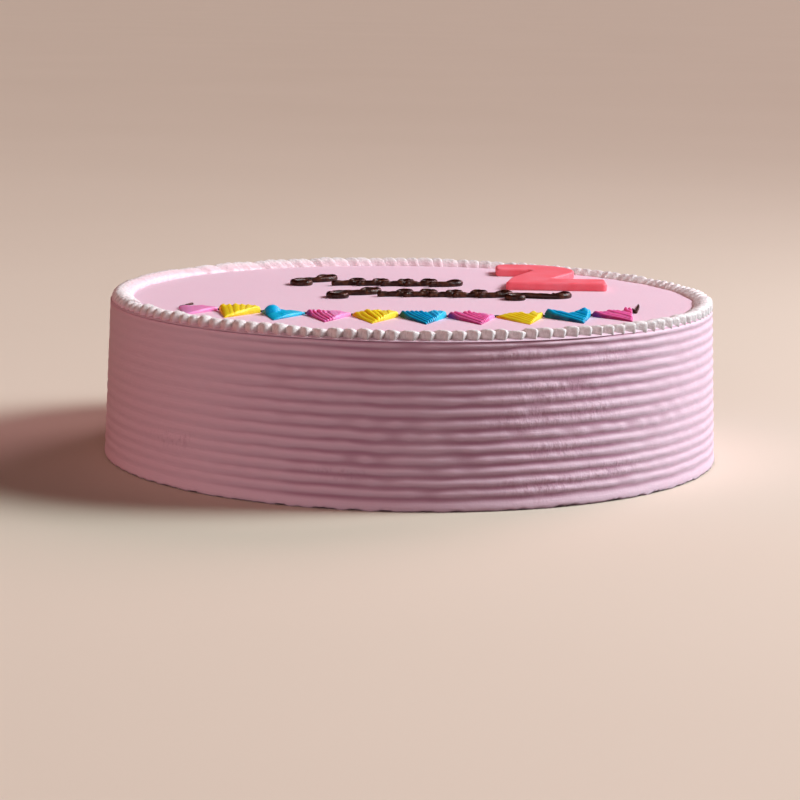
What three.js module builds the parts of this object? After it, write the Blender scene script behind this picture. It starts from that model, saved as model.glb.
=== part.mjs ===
// A round birthday cake: combed pink icing, a piped white border round the top edge, a garland of ten piped
// pennants on a chocolate string, chocolate scrollwork in two rows and a flat fondant numeral.
// Millimetres, +Z up. The origin is the centre of the flat underside; -Y is the front of the cake.
import * as THREE from "three";

// --- Driving dimensions --------------------------------------------------------------------------

const cake = {
  height: 66.6, // flat top of the pink icing
  baseRadius: 131.1, // at the bottom of the comb marks, at the foot
  topRadius: 128.3, // at the bottom of the comb marks, at the top edge
  segments: 60,
};
const comb = {
  grooves: 14,
  firstHeight: 5.0, // lowest groove above the underside
  pitch: 4.44,
  drift: 0.55, // how far the comb strayed from even spacing half way up
  depth: 0.5,
  footChamfer: 0.6,
  lip: 1.0, // thickness of the thin edge left where the top was scraped level
};
const border = {
  beads: 134,
  inset: 0.3, // from the cake's top edge to the widest part of a bead
  width: 8.6, // across the ring
  height: 3.5,
  pinch: 0.62, // a bead's size at the crease, as a share of its full size
  lean: 0.3, // share of a bead's length that its inner side trails its outer side
  unevenness: 0.07,
};
const garland = {
  pennants: 10,
  radius: 270, // of the arc that the pennants hang from
  centreX: -1,
  middleY: -64.5, // where the arc comes nearest the front
  start: -97.3, // along the arc from its middle to where the first pennant begins
  pennantWidth: 18.1, // of the first pennant
  widening: 0.28, // each is piped this much wider than the one before
  lastCut: 2.4, // the last one is this much narrower than that
  pennantLength: 22.5,
  endShortening: 3.2, // the outermost pennants are this much shorter
  thickness: 2.9,
  strands: 5, // rows of piping side by side in one pennant
  gap: 0.5, // between neighbouring pennants
  tipShare: 0.54, // share of the way across at which the tip lies
  crease: 0.8, // height between two strands, as a share of a strand's
  rim: 0.55, // height of the upright edge all round, as such a share
  rightCorner: 0.14, // share of the left side's length that the last strand keeps
};
/** For each pennant, how high it is piped at even steps across, as shares of the thickness. */
const piledHeights = [
  [0.4, 0.6, 0.65, 0.65, 0.65, 0.55],
  [1, 1, 1, 1, 1, 0.95],
  [1, 1.55, 1.6, 1.3, 0.8, 0.75, 0.7, 0.55, 0.4],
  [0.8, 0.9, 0.9, 0.85, 0.8, 0.5],
  [0.5, 0.85, 1, 1, 0.95, 0.75],
  [0.85, 1, 1, 1, 1, 0.95],
  [0.8, 0.95, 1, 0.95, 0.75, 0.45],
  [0.45, 0.75, 0.85, 0.9, 0.95, 0.85],
  [1.15, 1, 0.75, 0.75, 1.15, 1],
  [0.75, 0.85, 0.95, 1, 1.1, 1.05],
];
const cord = {
  behind: 1.9, // from the pennants' straight edge to the string's middle
  width: 1.2,
  height: 0.9,
  leftEnd: { length: 12, spread: 0 }, // a loose end, and how far it strays outwards as an angle on the arc
  rightEnd: { length: 27, spread: 0.067 },
  steps: 50,
};
const scroll = {
  width: 2.4,
  height: 2.4,
  facet: 2.3, // length of one straight stretch along the line
};
const swash = { length: 28, curl: 285 }; // one arm of a wide scroll
const wave = {
  turn: 12, // degrees that a small wave slants where it starts to curl
  tail: { length: 6, curl: 30 },
  head: { length: 25, curl: 370 },
  pitch: 10.8,
  count: 5,
};
const numeral = {
  x: 41.3, // front left corner of the foot bar
  y: 31.3,
  width: 45.2, // of the foot bar
  height: 71.5,
  footStroke: 17.5,
  terminalLeft: -2.4, // left end of the bowl's stroke, from that corner
  terminalFront: 51.2,
  terminalEnd: 14.8, // where the counter opens into the slanting stroke
  bowlRadius: 22,
  bowlReach: 45.5, // where the slanting stroke's right edge would meet the top
  slantFoot: 21, // where that edge meets the foot bar
  heel: 3.5, // where the slanting stroke's left edge meets the left end
  heelHeight: 21,
  thickness: 3.5,
  edge: 0.7,
  corner: 2.2,
};

const material = (color, roughness) => new THREE.MeshStandardMaterial({ color, roughness, metalness: 0 });
const icing = {
  pink: material(0xf3bfd2, 0.6),
  white: material(0xfbf3ee, 0.5),
  rose: material(0xf06fae, 0.45),
  yellow: material(0xf9dc2e, 0.45),
  blue: material(0x29aee0, 0.4),
  chocolate: material(0x3c1a12, 0.35),
  coral: material(0xfb6f80, 0.55),
};

const lerp = THREE.MathUtils.lerp;
const radians = THREE.MathUtils.degToRad;

/** Repeatable random numbers from 0 to 1. */
function randomFrom(seed) {
  let state = seed;
  return () => {
    state = (state * 16807) % 2147483647;
    return state / 2147483647;
  };
}

// --- Helpers for closed meshes -------------------------------------------------------------------

/** A closed surface given as rows of points: each row is a ring, and the last row joins the first. */
function ringOfRings(rows) {
  const count = rows[0].length;
  const positions = new Float32Array(rows.flat(2));
  const index = [];
  rows.forEach((_, i) => {
    const next = (i + 1) % rows.length;
    for (let j = 0; j < count; j++) {
      const k = (j + 1) % count;
      index.push(i * count + j, next * count + k, next * count + j);
      index.push(i * count + j, i * count + k, next * count + k);
    }
  });
  const geometry = new THREE.BufferGeometry();
  geometry.setAttribute("position", new THREE.BufferAttribute(positions, 3));
  geometry.setIndex(index);
  return geometry;
}

function named(name, geometry, skin) {
  const mesh = new THREE.Mesh(geometry, skin);
  mesh.name = name;
  return mesh;
}

// --- Cake ----------------------------------------------------------------------------------------

/** Height of the n-th groove from the bottom: even steps, with one slow wave where the comb drifted. */
function grooveHeight(n) {
  const even = comb.firstHeight + comb.pitch * n;
  return even - comb.drift * Math.sin((2 * Math.PI * n) / (comb.grooves - 1));
}

/** Radius at the bottom of the comb marks, which grows evenly towards the foot. */
function combedRadius(z) {
  return lerp(cake.baseRadius, cake.topRadius, z / cake.height);
}

/** The cake as one turned solid: a flat foot, a ridge between each pair of grooves, a lip and a flat top. */
function cakeGeometry() {
  const valleys = Array.from({ length: comb.grooves }, (_, n) => grooveHeight(n));
  const levels = [0, ...valleys, cake.height - comb.lip];
  const profile = [new THREE.Vector2(0, 0), new THREE.Vector2(combedRadius(0), 0)];
  profile.push(new THREE.Vector2(combedRadius(0) + comb.depth, comb.footChamfer));
  for (let n = 1; n < levels.length; n++) {
    const middle = (levels[n - 1] + levels[n]) / 2;
    if (n > 1) profile.push(new THREE.Vector2(combedRadius(middle) + comb.depth, middle));
    profile.push(new THREE.Vector2(combedRadius(levels[n]), levels[n]));
  }
  profile.push(new THREE.Vector2(combedRadius(cake.height) + comb.depth, cake.height));
  profile.push(new THREE.Vector2(0, cake.height));
  return new THREE.LatheGeometry(profile, cake.segments).rotateX(Math.PI / 2);
}

// --- Border --------------------------------------------------------------------------------------

/** The border's section, from its inner foot over the top to its outer foot: [across, up], as shares. */
const borderSection = [
  [0, 0],
  [0.08, 0.33],
  [0.8, 1],
  [1, 0.75],
  [0.98, 0],
];

/** A ring of piped beads. Each swells from a crease to full size and leans back on its inner side. */
function borderGeometry() {
  const random = randomFrom(77);
  const outer = cake.topRadius + comb.depth - border.inset;
  const swell = [0, 0.34, 0.7];
  const rows = [];
  for (let bead = 0; bead < border.beads; bead++) {
    const size = 1 + border.unevenness * (2 * random() - 1);
    for (const along of swell) {
      const full = lerp(border.pinch, 1, Math.sin(Math.PI * Math.min(1, along + 0.08)) ** 0.5) * size;
      const ring = borderSection.map(([across, up]) => {
        const trailing = border.lean * (1 - across) * (along === 0 ? 0.6 : 1);
        const angle = (2 * Math.PI * (bead + along - trailing)) / border.beads;
        const radius = outer - border.width * (1 - across) * lerp(1, full, 0.45);
        return [radius * Math.cos(angle), radius * Math.sin(angle), cake.height + border.height * up * full];
      });
      rows.push(ring);
    }
  }
  return ringOfRings(rows);
}

// --- Garland -------------------------------------------------------------------------------------

/** A point on the cake's top, given by its angle on the garland's arc and how far outside the arc it lies. */
function garlandPoint(angle, outward) {
  const r = garland.radius + outward;
  const centreY = garland.middleY + garland.radius;
  return new THREE.Vector2(garland.centreX + r * Math.sin(angle), centreY - r * Math.cos(angle));
}

/** The angle on the arc where pennant n starts; n = pennants gives the end of the last one. */
function pennantAngle(n) {
  const wider = (garland.widening * n * (n - 1)) / 2;
  const cut = garland.lastCut * Math.max(0, n + 1 - garland.pennants);
  return (garland.start + garland.pennantWidth * n + wider - cut) / garland.radius;
}

/** How high a pennant is piped a share of the way across it, between the steps of a list of heights. */
function piledHeight(heights, across) {
  const place = across * (heights.length - 1);
  const step = Math.min(Math.floor(place), heights.length - 2);
  return lerp(heights[step], heights[step + 1], place - step);
}

/**
 * One pennant: strands of icing piped side by side, parallel to its left edge, from the string to its
 * right edge. It is a grid of strands by stations with a flat underside, whose top rises over each strand.
 */
function pennantGeometry(n) {
  const random = randomFrom(311 + 97 * n);
  const vary = (amount) => amount * (2 * random() - 1);
  const halfGap = garland.gap / 2 / garland.radius;
  const offCentre = (n + 0.5 - garland.pennants / 2) / (garland.pennants / 2);
  const length = garland.pennantLength - garland.endShortening * offCentre ** 2 + vary(0.9);
  const thickness = garland.thickness + vary(0.25);
  const left = garlandPoint(pennantAngle(n) + halfGap, 0);
  const right = garlandPoint(pennantAngle(n + 1) - halfGap, 0);
  const tip = garlandPoint(pennantAngle(n + garland.tipShare) + vary(0.004), length);

  const lines = 2 * garland.strands; // crests and creases alternate across the pennant
  const stations = [0, 0.07, 0.5, 0.93, 1]; // from the string to the far end of each strand
  const swell = [0, 0.8, 1, 0.86, 0]; // how full the strand is at each
  const top = [];
  const bottom = [];
  for (let i = 0; i <= lines; i++) {
    const from = left.clone().lerp(right, i / lines);
    const to = tip.clone().lerp(right, (i / lines) * (1 - garland.rightCorner));
    const inner = i > 0 && i < lines;
    const crest = inner ? (i % 2 ? 1 : garland.crease) : 0;
    stations.forEach((along, j) => {
      const share = Math.max(crest * swell[j], garland.rim) * piledHeight(piledHeights[n], i / lines);
      const p = from.clone().lerp(to, along);
      top.push([p.x, p.y, cake.height + thickness * share]);
      bottom.push([p.x, p.y, cake.height]);
    });
  }
  return slab(top, bottom, lines + 1, stations.length);
}

/** A closed mesh between two grids of points of the same shape, the first above the second. */
function slab(top, bottom, rows, columns) {
  const positions = new Float32Array([...top, ...bottom].flat());
  const below = rows * columns;
  const index = [];
  const quad = (a, b, c, d) => index.push(a, b, c, a, c, d);
  for (let i = 0; i + 1 < rows; i++) {
    for (let j = 0; j + 1 < columns; j++) {
      const a = i * columns + j;
      const b = a + columns;
      quad(a, a + 1, b + 1, b);
      quad(below + a, below + b, below + b + 1, below + a + 1);
    }
  }
  const rim = [];
  for (let j = 0; j < columns; j++) rim.push(j);
  for (let i = 1; i < rows; i++) rim.push(i * columns + columns - 1);
  for (let j = columns - 2; j >= 0; j--) rim.push((rows - 1) * columns + j);
  for (let i = rows - 2; i > 0; i--) rim.push(i * columns);
  rim.forEach((a, i) => {
    const b = rim[(i + 1) % rim.length];
    quad(b, a, below + a, below + b);
  });
  const geometry = new THREE.BufferGeometry();
  geometry.setAttribute("position", new THREE.BufferAttribute(positions, 3));
  geometry.setIndex(index);
  return geometry;
}

// --- Piped lines ---------------------------------------------------------------------------------

/** A line of icing along a level path on the cake's top: a low arch in section, flat underneath. */
function pipedLine(points, width, height, steps) {
  const arch = new THREE.Shape();
  arch.moveTo(0, -width * 0.44);
  arch.lineTo(-height * 0.6, -width * 0.5);
  arch.lineTo(-height, 0);
  arch.lineTo(-height * 0.6, width * 0.5);
  arch.lineTo(0, width * 0.44);
  arch.closePath();
  const path = new THREE.CatmullRomCurve3(points);
  return new THREE.ExtrudeGeometry(arch, { steps, extrudePath: path });
}

/** The garland's string: it follows the arc just behind the pennants, and its two loose ends run back. */
function stringGeometry() {
  const first = pennantAngle(0);
  const last = pennantAngle(garland.pennants);
  const inside = -cord.behind;
  const looseEnd = (corner, side, { length, spread }) =>
    [0.25, 0.5, 0.75, 1].map((share) => garlandPoint(corner + side * spread * share, inside - length * share));
  const points = [
    ...looseEnd(first, -1, cord.leftEnd).reverse(),
    ...Array.from({ length: garland.pennants + 1 }, (_, n) => garlandPoint(pennantAngle(n), inside)),
    ...looseEnd(last, 1, cord.rightEnd),
  ];
  const level = points.map((p) => new THREE.Vector3(p.x, p.y, cake.height));
  return pipedLine(level, cord.width, cord.height, cord.steps);
}

/**
 * A scroll of icing, as points along its length. It runs straight at x, y, in the direction turn, and
 * each of its two arms bends ever more tightly towards its end: its heading changes by curl times the
 * square of the share of its length.
 */
function scrollPoints({ x, y, turn, tail, head }) {
  const stride = 0.35;
  const keep = 4; // every so many strides, a point is kept
  const arm = ({ length, curl }, forward) => {
    const count = keep * Math.round(length / stride / keep);
    const points = [];
    const p = new THREE.Vector3(x, y, cake.height);
    for (let i = 1; i <= count; i++) {
      const heading = radians(turn + curl * ((i - 0.5) / count) ** 2);
      const step = (forward * length) / count;
      p.add(new THREE.Vector3(step * Math.cos(heading), step * Math.sin(heading), 0));
      if (i % keep === 0) points.push(p.clone());
    }
    return points;
  };
  return [...arm(tail, -1).reverse(), new THREE.Vector3(x, y, cake.height), ...arm(head, 1)];
}

/** One scroll as a solid. */
function scrollGeometry(motif) {
  const steps = Math.round((motif.tail.length + motif.head.length) / scroll.facet);
  return pipedLine(scrollPoints(motif), scroll.width, scroll.height, steps);
}

/** Small waves run one after another from x, y, like a running-dog ornament, each a little different. */
function waves(x, y, seed) {
  const random = randomFrom(seed);
  const vary = (amount) => amount * (2 * random() - 1);
  return Array.from({ length: wave.count }, (_, n) => ({
    x: x + wave.pitch * n,
    y: y + vary(0.7),
    turn: wave.turn + vary(4),
    tail: wave.tail,
    head: { length: wave.head.length + vary(1), curl: wave.head.curl },
  }));
}

/** A wide scroll leads each row, and another closes the near one. */
const rows = {
  scroll_far: [{ x: -44, y: 49, turn: 22, tail: swash, head: swash }, ...waves(-30, 40, 5)],
  scroll_near: [
    { x: -25, y: 5, turn: 12, tail: swash, head: swash },
    ...waves(-9, 3, 9),
    { x: 54.5, y: 3, turn: -14, tail: swash, head: swash },
  ],
};

// --- Numeral -------------------------------------------------------------------------------------

/** A closed outline through corners given as [x, y, radius], each rounded to its radius. */
function roundedOutline(corners) {
  const outline = new THREE.Shape();
  corners.forEach(([x, y, radius], i) => {
    const corner = new THREE.Vector2(x, y);
    const [px, py] = corners.at(i - 1);
    const [nx, ny] = corners[(i + 1) % corners.length];
    const back = new THREE.Vector2(px, py).sub(corner).normalize();
    const ahead = new THREE.Vector2(nx, ny).sub(corner).normalize();
    const half = Math.acos(back.dot(ahead)) / 2;
    const bisector = back.clone().add(ahead).normalize();
    const centre = corner.clone().addScaledVector(bisector, radius / Math.sin(half));
    const first = corner.clone().addScaledVector(back, radius / Math.tan(half)).sub(centre);
    const last = corner.clone().addScaledVector(ahead, radius / Math.tan(half)).sub(centre);
    const clockwise = back.cross(ahead) > 0;
    outline.absarc(centre.x, centre.y, radius, first.angle(), last.angle(), clockwise);
  });
  return outline;
}

/** The figure two, cut from flat fondant: a foot bar, a slanting stroke and a bowl with a square-cut end. */
function numeralGeometry() {
  const n = numeral;
  const outline = roundedOutline([
    [0, 0, n.corner],
    [n.width, 0, n.corner],
    [n.width, n.footStroke, n.corner],
    [n.slantFoot, n.footStroke, n.corner],
    [n.bowlReach, n.height, n.bowlRadius],
    [n.terminalLeft, n.height, 3 * n.corner],
    [n.terminalLeft, n.terminalFront, n.corner],
    [n.terminalEnd, n.terminalFront, n.corner],
    [n.heel, n.heelHeight, n.corner],
  ]);
  const solid = new THREE.ExtrudeGeometry(outline, {
    depth: n.thickness - 2 * n.edge,
    bevelEnabled: true,
    bevelThickness: n.edge,
    bevelSize: n.edge,
    bevelOffset: -n.edge,
    bevelSegments: 1,
    curveSegments: 3,
  });
  return solid.translate(n.x, n.y, cake.height + n.edge);
}

// --- Assembly ------------------------------------------------------------------------------------

const part = new THREE.Group();
part.add(named("cake", cakeGeometry(), icing.pink));
part.add(named("border", borderGeometry(), icing.white));
const pennantColours = [icing.rose, icing.yellow, icing.blue];
for (let n = 0; n < garland.pennants; n++) {
  part.add(named(`pennant_${n + 1}`, pennantGeometry(n), pennantColours[n % pennantColours.length]));
}
part.add(named("garland_string", stringGeometry(), icing.chocolate));
for (const [name, row] of Object.entries(rows)) {
  row.forEach((motif, i) => {
    part.add(named(`${name}_${i + 1}`, scrollGeometry(motif), icing.chocolate));
  });
}
part.add(named("numeral", numeralGeometry(), icing.coral));

export default part;
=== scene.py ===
"""A round birthday cake: combed pink buttercream, a piped white border, a garland of pennants on a
chocolate string, two rows of chocolate scrollwork and a flat fondant numeral.

Shapes are worked out in millimetres, as arrays of points, and are stored in metres in the frame of the
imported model: +Z is up, the origin is the centre of the underside, and -Y is the front.
"""

import math

import bpy
import numpy as np
from mathutils import Matrix, Vector


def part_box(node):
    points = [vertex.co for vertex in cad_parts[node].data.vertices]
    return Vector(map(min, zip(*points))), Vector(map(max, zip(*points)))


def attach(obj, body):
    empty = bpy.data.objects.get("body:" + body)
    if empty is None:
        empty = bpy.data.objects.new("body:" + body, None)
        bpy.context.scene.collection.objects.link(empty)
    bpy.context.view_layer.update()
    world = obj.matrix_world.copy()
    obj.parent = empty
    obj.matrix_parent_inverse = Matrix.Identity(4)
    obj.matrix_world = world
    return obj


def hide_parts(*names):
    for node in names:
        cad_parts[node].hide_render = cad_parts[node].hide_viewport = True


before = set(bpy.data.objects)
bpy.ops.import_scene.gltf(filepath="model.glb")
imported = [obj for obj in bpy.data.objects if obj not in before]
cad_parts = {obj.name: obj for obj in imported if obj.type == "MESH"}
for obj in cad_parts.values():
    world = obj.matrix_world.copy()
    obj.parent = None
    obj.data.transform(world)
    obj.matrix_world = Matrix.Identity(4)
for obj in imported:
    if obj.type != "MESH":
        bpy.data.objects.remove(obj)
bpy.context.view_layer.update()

MM = 0.001
TAU = 2 * math.pi


def highest_mm(node):
    """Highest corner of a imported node, in millimetres."""
    low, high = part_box(node)
    return np.array(high) / MM


# --- Sizes ---

CAKE_HIGH = highest_mm("cake")
TOP = CAKE_HIGH[2]  # the flat top of the pink icing
SUNK = 0.02  # how far toppings are sunk into the top

COMB = {
    "grooves": 14,
    "first": 5.0,  # lowest groove above the underside
    "pitch": 4.44,
    "depth": 0.9,
    "drift": 0.55,  # how far it strayed, down in the lower half and up in the upper half
    "sway": 0.11,  # how far grooves wander together
    "wander": 0.1,  # and each by itself
    "uneven": 0.22,  # how much a ridge's size varies, as a share
    "least": 0.35,  # smallest size of a ridge, as a share
    "grain": 0.035,  # fine unevenness of the icing
    "pits": 0.13,  # coarser unevenness where the icing is torn
}
LIP = 1.0  # thickness of the thin edge left where the top was scraped level
LIP_PROUD = 0.3  # how far this edge stands out past the border
FOOT_RADIUS = CAKE_HIGH[0] - COMB["depth"]  # at the bottom of the comb marks
BORDER_RADIUS = highest_mm("border")[0]
EDGE_RADIUS = BORDER_RADIUS + LIP_PROUD - COMB["depth"]  # the same at the top edge

BORDER = {
    "beads": 134,
    "width": 8.6,
    "height": 3.5,
    "sunk": 0.1,
    "inset": 0.25,  # of an even ring, from the outside of its node
    "pinch": 0.6,  # size of the ring at a crease, as a share of a full bead
    "lean": 0.2,  # how far the inner side trails the outer side, in beads
    "scallop": 2.3,  # how far the outer side is drawn in at a crease
    "drop": 1.05,  # how much lower the outer side is where the border hangs over the edge
    "jut": 0.5,  # and how much farther out
    "rib": 0.04,  # depth of the ribs from the tube's star, as a share
    "uneven": 0.1,  # how much beads differ in size and place, and more in size at the far left
    "sizes": (0.72, 1.05),  # of the smallest bead and the largest
    "lower": 0.2,  # how much lower it is at the back right, as a share
}
GARLAND = {
    "pennants": 10,
    "radius": 270.0,  # of the arc that the pennants hang from
    "centre_x": -1.0,
    "middle_y": -64.5,
    "start": -97.3,  # along the arc from its middle to where the first pennant begins
    "width": 18.1,  # of the first pennant
    "widening": 0.28,  # each is piped this much wider than the one before
    "last_cut": 2.4,  # the last one is this much narrower than that
    "length": 22.5,
    "end_shortening": 3.2,
    "thickness": 2.9,
    "gap": 0.5,
    "tip_share": 0.54,  # share of the way across at which the tip lies
    "right_corner": 0.14,
}
STRING = {
    "behind": 1.9,  # from the pennants' straight edge to the string's middle
    "width": 1.2,
    "height": 0.9,
    "left_end": 12.0,  # length of the loose end
    "bends": [(0.0, -1.9), (0.028, -15.5), (0.012, -4.1), (0.067, -28.9)],  # right end: angle, outward
}
SCROLL = {"width": 2.4, "height": 2.4, "step": 0.45}
SWASH = (28.0, 285.0)  # length of one arm of a wide scroll, and the degrees it curls through
WAVE = {
    "turn": 12.0,  # direction where a wave begins to curl
    "tail": (6.0, 30.0),  # length and curl, as of a wide scroll's arm
    "head": (25.0, 370.0),
    "pitch": 10.8,
    "count": 5,
    "lift": 0.7,  # how far waves differ in place
    "twist": 4.0,  # and in direction
}
NUMERAL = {
    "x": 41.3,  # of its front left corner
    "y": 31.3,
    "width": 45.2,  # across the foot
    "height": 71.5,
    "foot_stroke": 17.5,
    "terminal_left": -2.4,  # the bowl's end: its left, front and right side
    "terminal_front": 51.2,
    "terminal_end": 14.8,
    "bowl_radius": 22.0,
    "bowl_reach": 45.5,
    "slant_foot": 21.0,  # where the slanted stroke meets the foot
    "heel": 3.5,  # where the bowl turns into the slanted stroke
    "heel_height": 21.0,
    "corner": 2.2,
    "round_top": 1.1,  # how far the upper edge is rounded, and the lower edge
    "round_foot": 0.4,
}


# --- Making meshes ---


def signed_volume(points, faces):
    """Six times the volume inside faces: positive when they all point outwards."""
    total = 0.0
    for group in faces:
        first = points[group[:, 0]]
        for k in range(1, group.shape[1] - 1):
            total += np.einsum("ij,ij->", first, np.cross(points[group[:, k]], points[group[:, k + 1]]))
    return total


SHARP_ANGLE = 75  # degrees past which an edge shows


def new_piece(name, surface, node, finish):
    """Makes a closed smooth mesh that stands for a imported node. Its surface is points, faces and marks:
    faces is a list of arrays, one for each number of sides, and each mark has one number a point, for
    the finish to read, such as relief, which is 0 in a crease and 1 on a crest."""
    points, faces, marks = surface
    if signed_volume(points, faces) < 0:
        faces = [group[:, ::-1] for group in faces]
    mesh = bpy.data.meshes.new(name)
    mesh.from_pydata((points * MM).tolist(), [], [face for group in faces for face in group.tolist()])
    mesh.shade_smooth()
    mesh.set_sharp_from_angle(angle=math.radians(SHARP_ANGLE))
    for mark, values in marks.items():
        mesh.attributes.new(mark, "FLOAT", "POINT").data.foreach_set("value", np.ravel(values))
    mesh.materials.append(finish)
    piece = bpy.data.objects.new(name, mesh)
    bpy.context.scene.collection.objects.link(piece)
    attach(piece, "root")
    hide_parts(node)


def grid_quads(rows, columns, wrap_rows=False, wrap_columns=False):
    """Four-sided faces between the points of a grid stored row by row, joined round where it wraps."""
    across, down = np.arange(columns - (not wrap_columns)), np.arange(rows - (not wrap_rows))
    i, j = (numbers.ravel() for numbers in np.meshgrid(down, across, indexing="ij"))
    below, beside = (i + 1) % rows, (j + 1) % columns
    corners = [i * columns + j, i * columns + beside, below * columns + beside, below * columns + j]
    return np.stack(corners, axis=1)


def fan(ring, pole, outwards=True):
    """Triangles that close a ring of point numbers with one point."""
    nxt = np.roll(ring, -1)
    triangle = (nxt, ring) if outwards else (ring, nxt)
    return np.stack([*triangle, np.full(len(ring), pole)], axis=1)


def closed_rings(rings, first_pole, last_pole):
    """Points and faces of a surface through a stack of closed rings, which ends in a point each way."""
    count, around, _ = rings.shape
    points = np.concatenate([rings.reshape(-1, 3), [first_pole], [last_pole]])
    first, total = np.arange(around), count * around
    ends = [fan(first, total), fan(first + total - around, total + 1, outwards=False)]
    return points, [grid_quads(count, around, wrap_columns=True), np.concatenate(ends)]


def turned(radius, angle, z):
    """Points by their radius, angle and height round the cake's axis."""
    return np.stack(np.broadcast_arrays(radius * np.cos(angle), radius * np.sin(angle), z), axis=-1)


COSINES = 12  # in each sum of waves


def waves_round(angle, slowest, fastest, size, seed, height=0.0, tilt=0.0):
    """Unevenness round the cake, about size high: a sum of cosines with a whole number of periods in one
    turn, drawn from slowest to fastest, each with its own phase, which also shifts with height when tilt
    isn't 0."""
    draw = np.random.default_rng(seed)
    total = np.zeros(np.broadcast(angle, height).shape)
    for _ in range(COSINES):
        cycles = draw.integers(slowest, fastest + 1)
        total += np.cos(cycles * angle + draw.uniform(0, TAU) + tilt * draw.uniform(-1, 1) * height)
    return size * total / math.sqrt(COSINES / 2)


def repeatable(seed):
    """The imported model's own random numbers from 0 to 1, so that each piece keeps its node's size: 16807
    times the one before, and the remainder by the prime 2 ** 31 - 1."""
    prime = 2**31 - 1
    state = seed
    while True:
        state = state * 16807 % prime
        yield state / prime


def soft_step(value, low, high):
    """0 below low, 1 above high and a smooth step between them."""
    share = np.clip((value - low) / (high - low), 0, 1)
    return share * share * (3 - 2 * share)


def within(value, start, full, fading, end):
    """0 before start and after end, 1 from full to fading, and smooth steps between."""
    return soft_step(value, start, full) * (1 - soft_step(value, fading, end))


def softened(at, places, values, blur):
    """Values joined by straight lines with softened corners: the mean of three readings, blur apart."""
    return sum(np.interp(at + shift, places, values) for shift in (-blur, 0.0, blur)) / 3


# --- Iced cake ---

CAKE_COLUMNS = 720  # points round the cake
RIDGE_STEPS = 6  # rings in each ridge
SHALLOW = {"left": 0.66, "left_high": 0.16, "right": 0.42}  # shares of the comb's depth that are lost
TUFT = 0.55  # how far the ragged foot is drawn in
DRAWN_IN = 1.1  # how far the lip is, where the border hangs over it
ROUGHEST = 0.8  # how torn the icing is in the middle of a patch
ROUGH_PATCHES = [  # degrees to the right of the front, height, half width in degrees, half height
    (24, 9.0, 9, 4.5), (38, 13.0, 6, 3.5), (27, 23.0, 7, 4.0), (20, 35.0, 7, 4.0),
    (34, 37.0, 6, 4.0), (25, 47.0, 10, 6.0), (19, 60.0, 8, 4.0), (37, 58.0, 6, 4.0),
    (-12, 14.0, 5, 2.0), (-46, 20.0, 6, 3.0), (118, 34.0, 9, 5.0), (-150, 12.0, 8, 3.0),
    (168, 45.0, 8, 4.0),
]
LIP_SECTION = [  # below the top, out from the ridges' crests, relief
    (0.98, -0.1, 0.6), (0.82, 0.0, 1.0), (0.6, -0.25, 1.0), (0.45, -0.6, 1.0), (0.35, -1.1, 1.0),
]
FLAT_RADIUS = 127  # within which the top is smooth
FLAT_RINGS = (126.5, 123, 119, 114, 107, 98, 86, 73, 60, 46, 32, 18, 7)
UNDER_RINGS = (0.35, 0.7, 0.93)  # shares of the underside's radius


def combed_radius(z):
    """Radius at the bottom of the comb marks: it shrinks evenly from the foot to the top edge."""
    return FOOT_RADIUS + (EDGE_RADIUS - FOOT_RADIUS) * z / TOP


def groove_height(n):
    """Height of the n-th groove: even steps, less one slow sine wave where the comb drifted."""
    return COMB["first"] + COMB["pitch"] * n - COMB["drift"] * np.sin(TAU * n / (COMB["grooves"] - 1))


def from_front(angle):
    """Degrees to the right of the front, from -180 to 180."""
    return np.degrees((angle + math.pi / 2 + math.pi) % TAU - math.pi)


def comb_pressure(angle, z):
    """How deep the comb went: less at the left, least near the top there, and less at the right."""
    degrees = from_front(angle)
    left = within(-degrees, 6, 52, 120, 160)
    right = within(degrees, 30, 64, 120, 160)
    at_left = SHALLOW["left"] + SHALLOW["left_high"] * soft_step(z, 25, 50)
    return 1 - left * at_left - SHALLOW["right"] * right


def overhang(angle):
    """How far the border hangs over the top edge, from 0 to 1: only to the right of the front."""
    return within(from_front(angle), 30, 53, 95, 140)


def patchiness(angle, z):
    """How torn the icing is, from 0 to 1: the sum of soft round patches at the places listed, each a
    bell curve both ways."""
    total = np.zeros(np.broadcast(angle, z).shape)
    for degrees, height, wide, tall in ROUGH_PATCHES:
        aside = from_front(angle - math.radians(degrees)) / wide
        total += np.exp(-(aside**2) - ((z - height) / tall) ** 2)
    return np.minimum(ROUGHEST * total, 1)


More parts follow.
